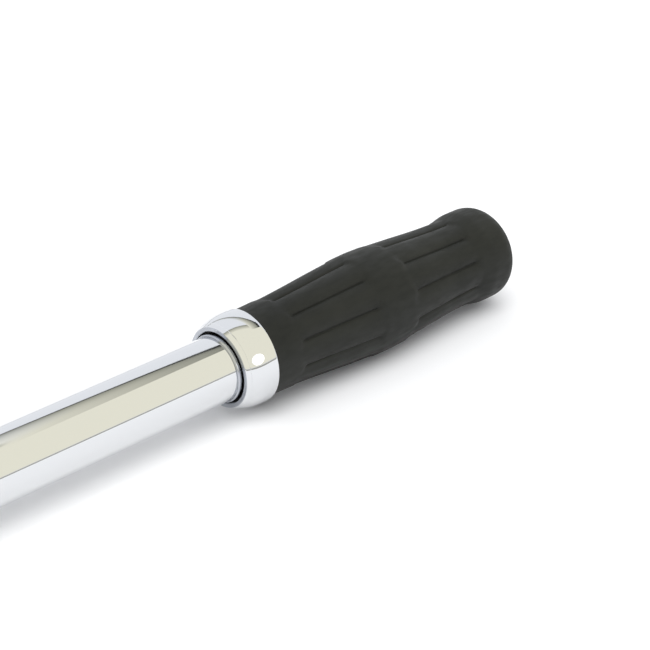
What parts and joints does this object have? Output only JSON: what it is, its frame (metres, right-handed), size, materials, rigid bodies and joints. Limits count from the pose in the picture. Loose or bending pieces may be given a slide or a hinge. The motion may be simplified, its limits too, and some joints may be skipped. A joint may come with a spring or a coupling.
{
  "type": "torque wrench",
  "caption": "Click-type torque wrench: reversible ratchet head with square drive, chrome tube, spring-loaded lock collar and a fluted black rubber grip that turns to set the torque.",
  "frame": {"origin": "centre of the drive square's end face", "axes": "+X from the drive square along the tube to the grip, +Z along the drive axis and out of the square's end face"},
  "size_m": [0.4526, 0.042, 0.0482],
  "materials": {
    "chrome": "bright chrome plate",
    "machined_steel": "machined",
    "dark_steel": "black oxide",
    "black_rubber": "matt moulded rubber",
    "white_plastic": "low-friction plastic"
  },
  "bodies": {
    "tube": {"tube": "chrome", "pivot_pin": "dark_steel", "pivot_washer_lower": "dark_steel", "pivot_washer_upper": "dark_steel", "adjuster_nut": "machined_steel", "nut_pin_lower": "dark_steel", "nut_pin_upper": "dark_steel", "main_spring": "dark_steel"},
    "head": {"ratchet_head": "chrome", "head_cover": "chrome", "cover_screw_1": "dark_steel", "cover_screw_2": "dark_steel", "cover_screw_3": "dark_steel", "drive_bush": "dark_steel"},
    "drive": {"drive_gear": "chrome", "ball_spring": "dark_steel"},
    "socket_ball": {"socket_ball": "dark_steel"},
    "lever": {"reversing_lever": "chrome", "lever_clip": "dark_steel", "pawl_plunger": "dark_steel", "pawl_spring": "dark_steel"},
    "pawl": {"pawl": "machined_steel"},
    "plunger": {"plunger": "machined_steel", "plunger_ring": "white_plastic", "spring_washer": "dark_steel"},
    "tilt_block": {"tilt_block": "machined_steel"},
    "spring_seat": {"spring_seat": "machined_steel", "thrust_ball": "dark_steel"},
    "handle": {"adjusting_screw": "machined_steel", "end_plug": "machined_steel", "plug_pin": "dark_steel", "plug_washer": "dark_steel", "screw_nut": "machined_steel", "handle_sleeve": "machined_steel", "guide_collet": "machined_steel", "stop_ring": "dark_steel", "grip": "black_rubber"},
    "lock_collar": {"lock_collar": "chrome", "collar_spring": "dark_steel"}
  },
  "joints": [
    {"name": "head_click", "type": "hinge", "parent": "tube", "child": "head", "pos_m": [0.06, 0, -0.0285], "axis": [0, 0, 1], "range_deg": [0, 3], "stiffness_Nm_per_rad": 12, "springref_deg": -1.15},
    {"name": "drive_turn", "type": "hinge", "parent": "head", "child": "drive", "pos_m": [0, 0, -0.0285], "axis": [0, 0, 1], "continuous": true},
    {"name": "socket_ball_press", "type": "slide", "parent": "drive", "child": "socket_ball", "axis": [0, -1, 0], "range_m": [0, 0.0007], "stiffness_N_per_m": 800, "springref_m": -0.001},
    {"name": "lever_turn", "type": "hinge", "parent": "head", "child": "lever", "pos_m": [0.019, 0, -0.0285], "axis": [0, 0, 1], "range_deg": [0, 60]},
    {"name": "pawl_rock", "type": "hinge", "parent": "head", "child": "pawl", "pos_m": [0.019, 0, -0.0285], "axis": [0, 0, 1], "range_deg": [-12, 0]},
    {"name": "plunger_slide", "type": "slide", "parent": "tube", "child": "plunger", "axis": [1, 0, 0], "range_m": [0, 0.0012]},
    {"name": "tilt_block_tilt", "type": "hinge", "parent": "plunger", "child": "tilt_block", "pos_m": [0.12, 0, -0.0285], "axis": [0, 0, 1], "range_deg": [-22, 0]},
    {"name": "torque_adjust", "type": "slide", "parent": "tube", "child": "spring_seat", "axis": [-1, 0, 0], "range_m": [0, 0.024], "deforming": ["main_spring"]},
    {"name": "handle_turn", "type": "hinge", "parent": "spring_seat", "child": "handle", "pos_m": [0.2758, 0, -0.0285], "axis": [-1, 0, 0], "range_deg": [0, 2880]},
    {"name": "collar_unlock", "type": "slide", "parent": "handle", "child": "lock_collar", "axis": [-1, 0, 0], "range_m": [0, 0.0025], "stiffness_N_per_m": 2000, "springref_m": -0.003, "deforming": ["collar_spring"]}
  ],
  "couplings": [
    {"joint": "pawl_rock", "follows": "lever_turn", "ratio": -0.2},
    {"joint": "plunger_slide", "follows": "head_click", "m_per_rad": 0.02},
    {"joint": "tilt_block_tilt", "follows": "head_click", "ratio": -7},
    {"joint": "torque_adjust", "follows": "handle_turn", "m_per_rad": 0.00047746}
  ]
}
